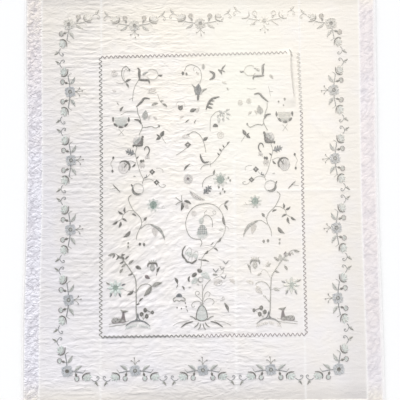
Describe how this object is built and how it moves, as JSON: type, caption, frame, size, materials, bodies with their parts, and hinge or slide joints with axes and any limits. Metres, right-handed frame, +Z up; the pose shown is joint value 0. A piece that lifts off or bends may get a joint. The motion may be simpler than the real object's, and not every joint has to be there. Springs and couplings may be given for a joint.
{
  "type": "embroidered quilt",
  "caption": "Bed quilt opened out flat, with a cream field of cross quilting, floral embroidery, a closely quilted pale band round it and a narrow sewn binding.",
  "frame": {"origin": "middle of the underside, on the surface that the quilt lies on", "axes": "+Z up out of the embroidered face, +Y along the length towards the head of the bed, +X across to the right"},
  "size_m": [1.98, 2.44, 0.0098],
  "materials": {
    "field_cotton": "plain woven cotton, cream",
    "band_cotton": "plain woven cotton, pale lavender grey",
    "binding_cotton": "plain woven cotton, off-white"
  },
  "bodies": {
    "root": {"field_centre": "field_cotton", "field_left": "field_cotton", "field_right": "field_cotton", "band_left": "band_cotton", "band_right": "band_cotton", "band_head": "band_cotton", "band_foot": "band_cotton", "binding_left": "binding_cotton", "binding_right": "binding_cotton", "binding_head": "binding_cotton", "binding_foot": "binding_cotton"}
  },
  "joints": []
}
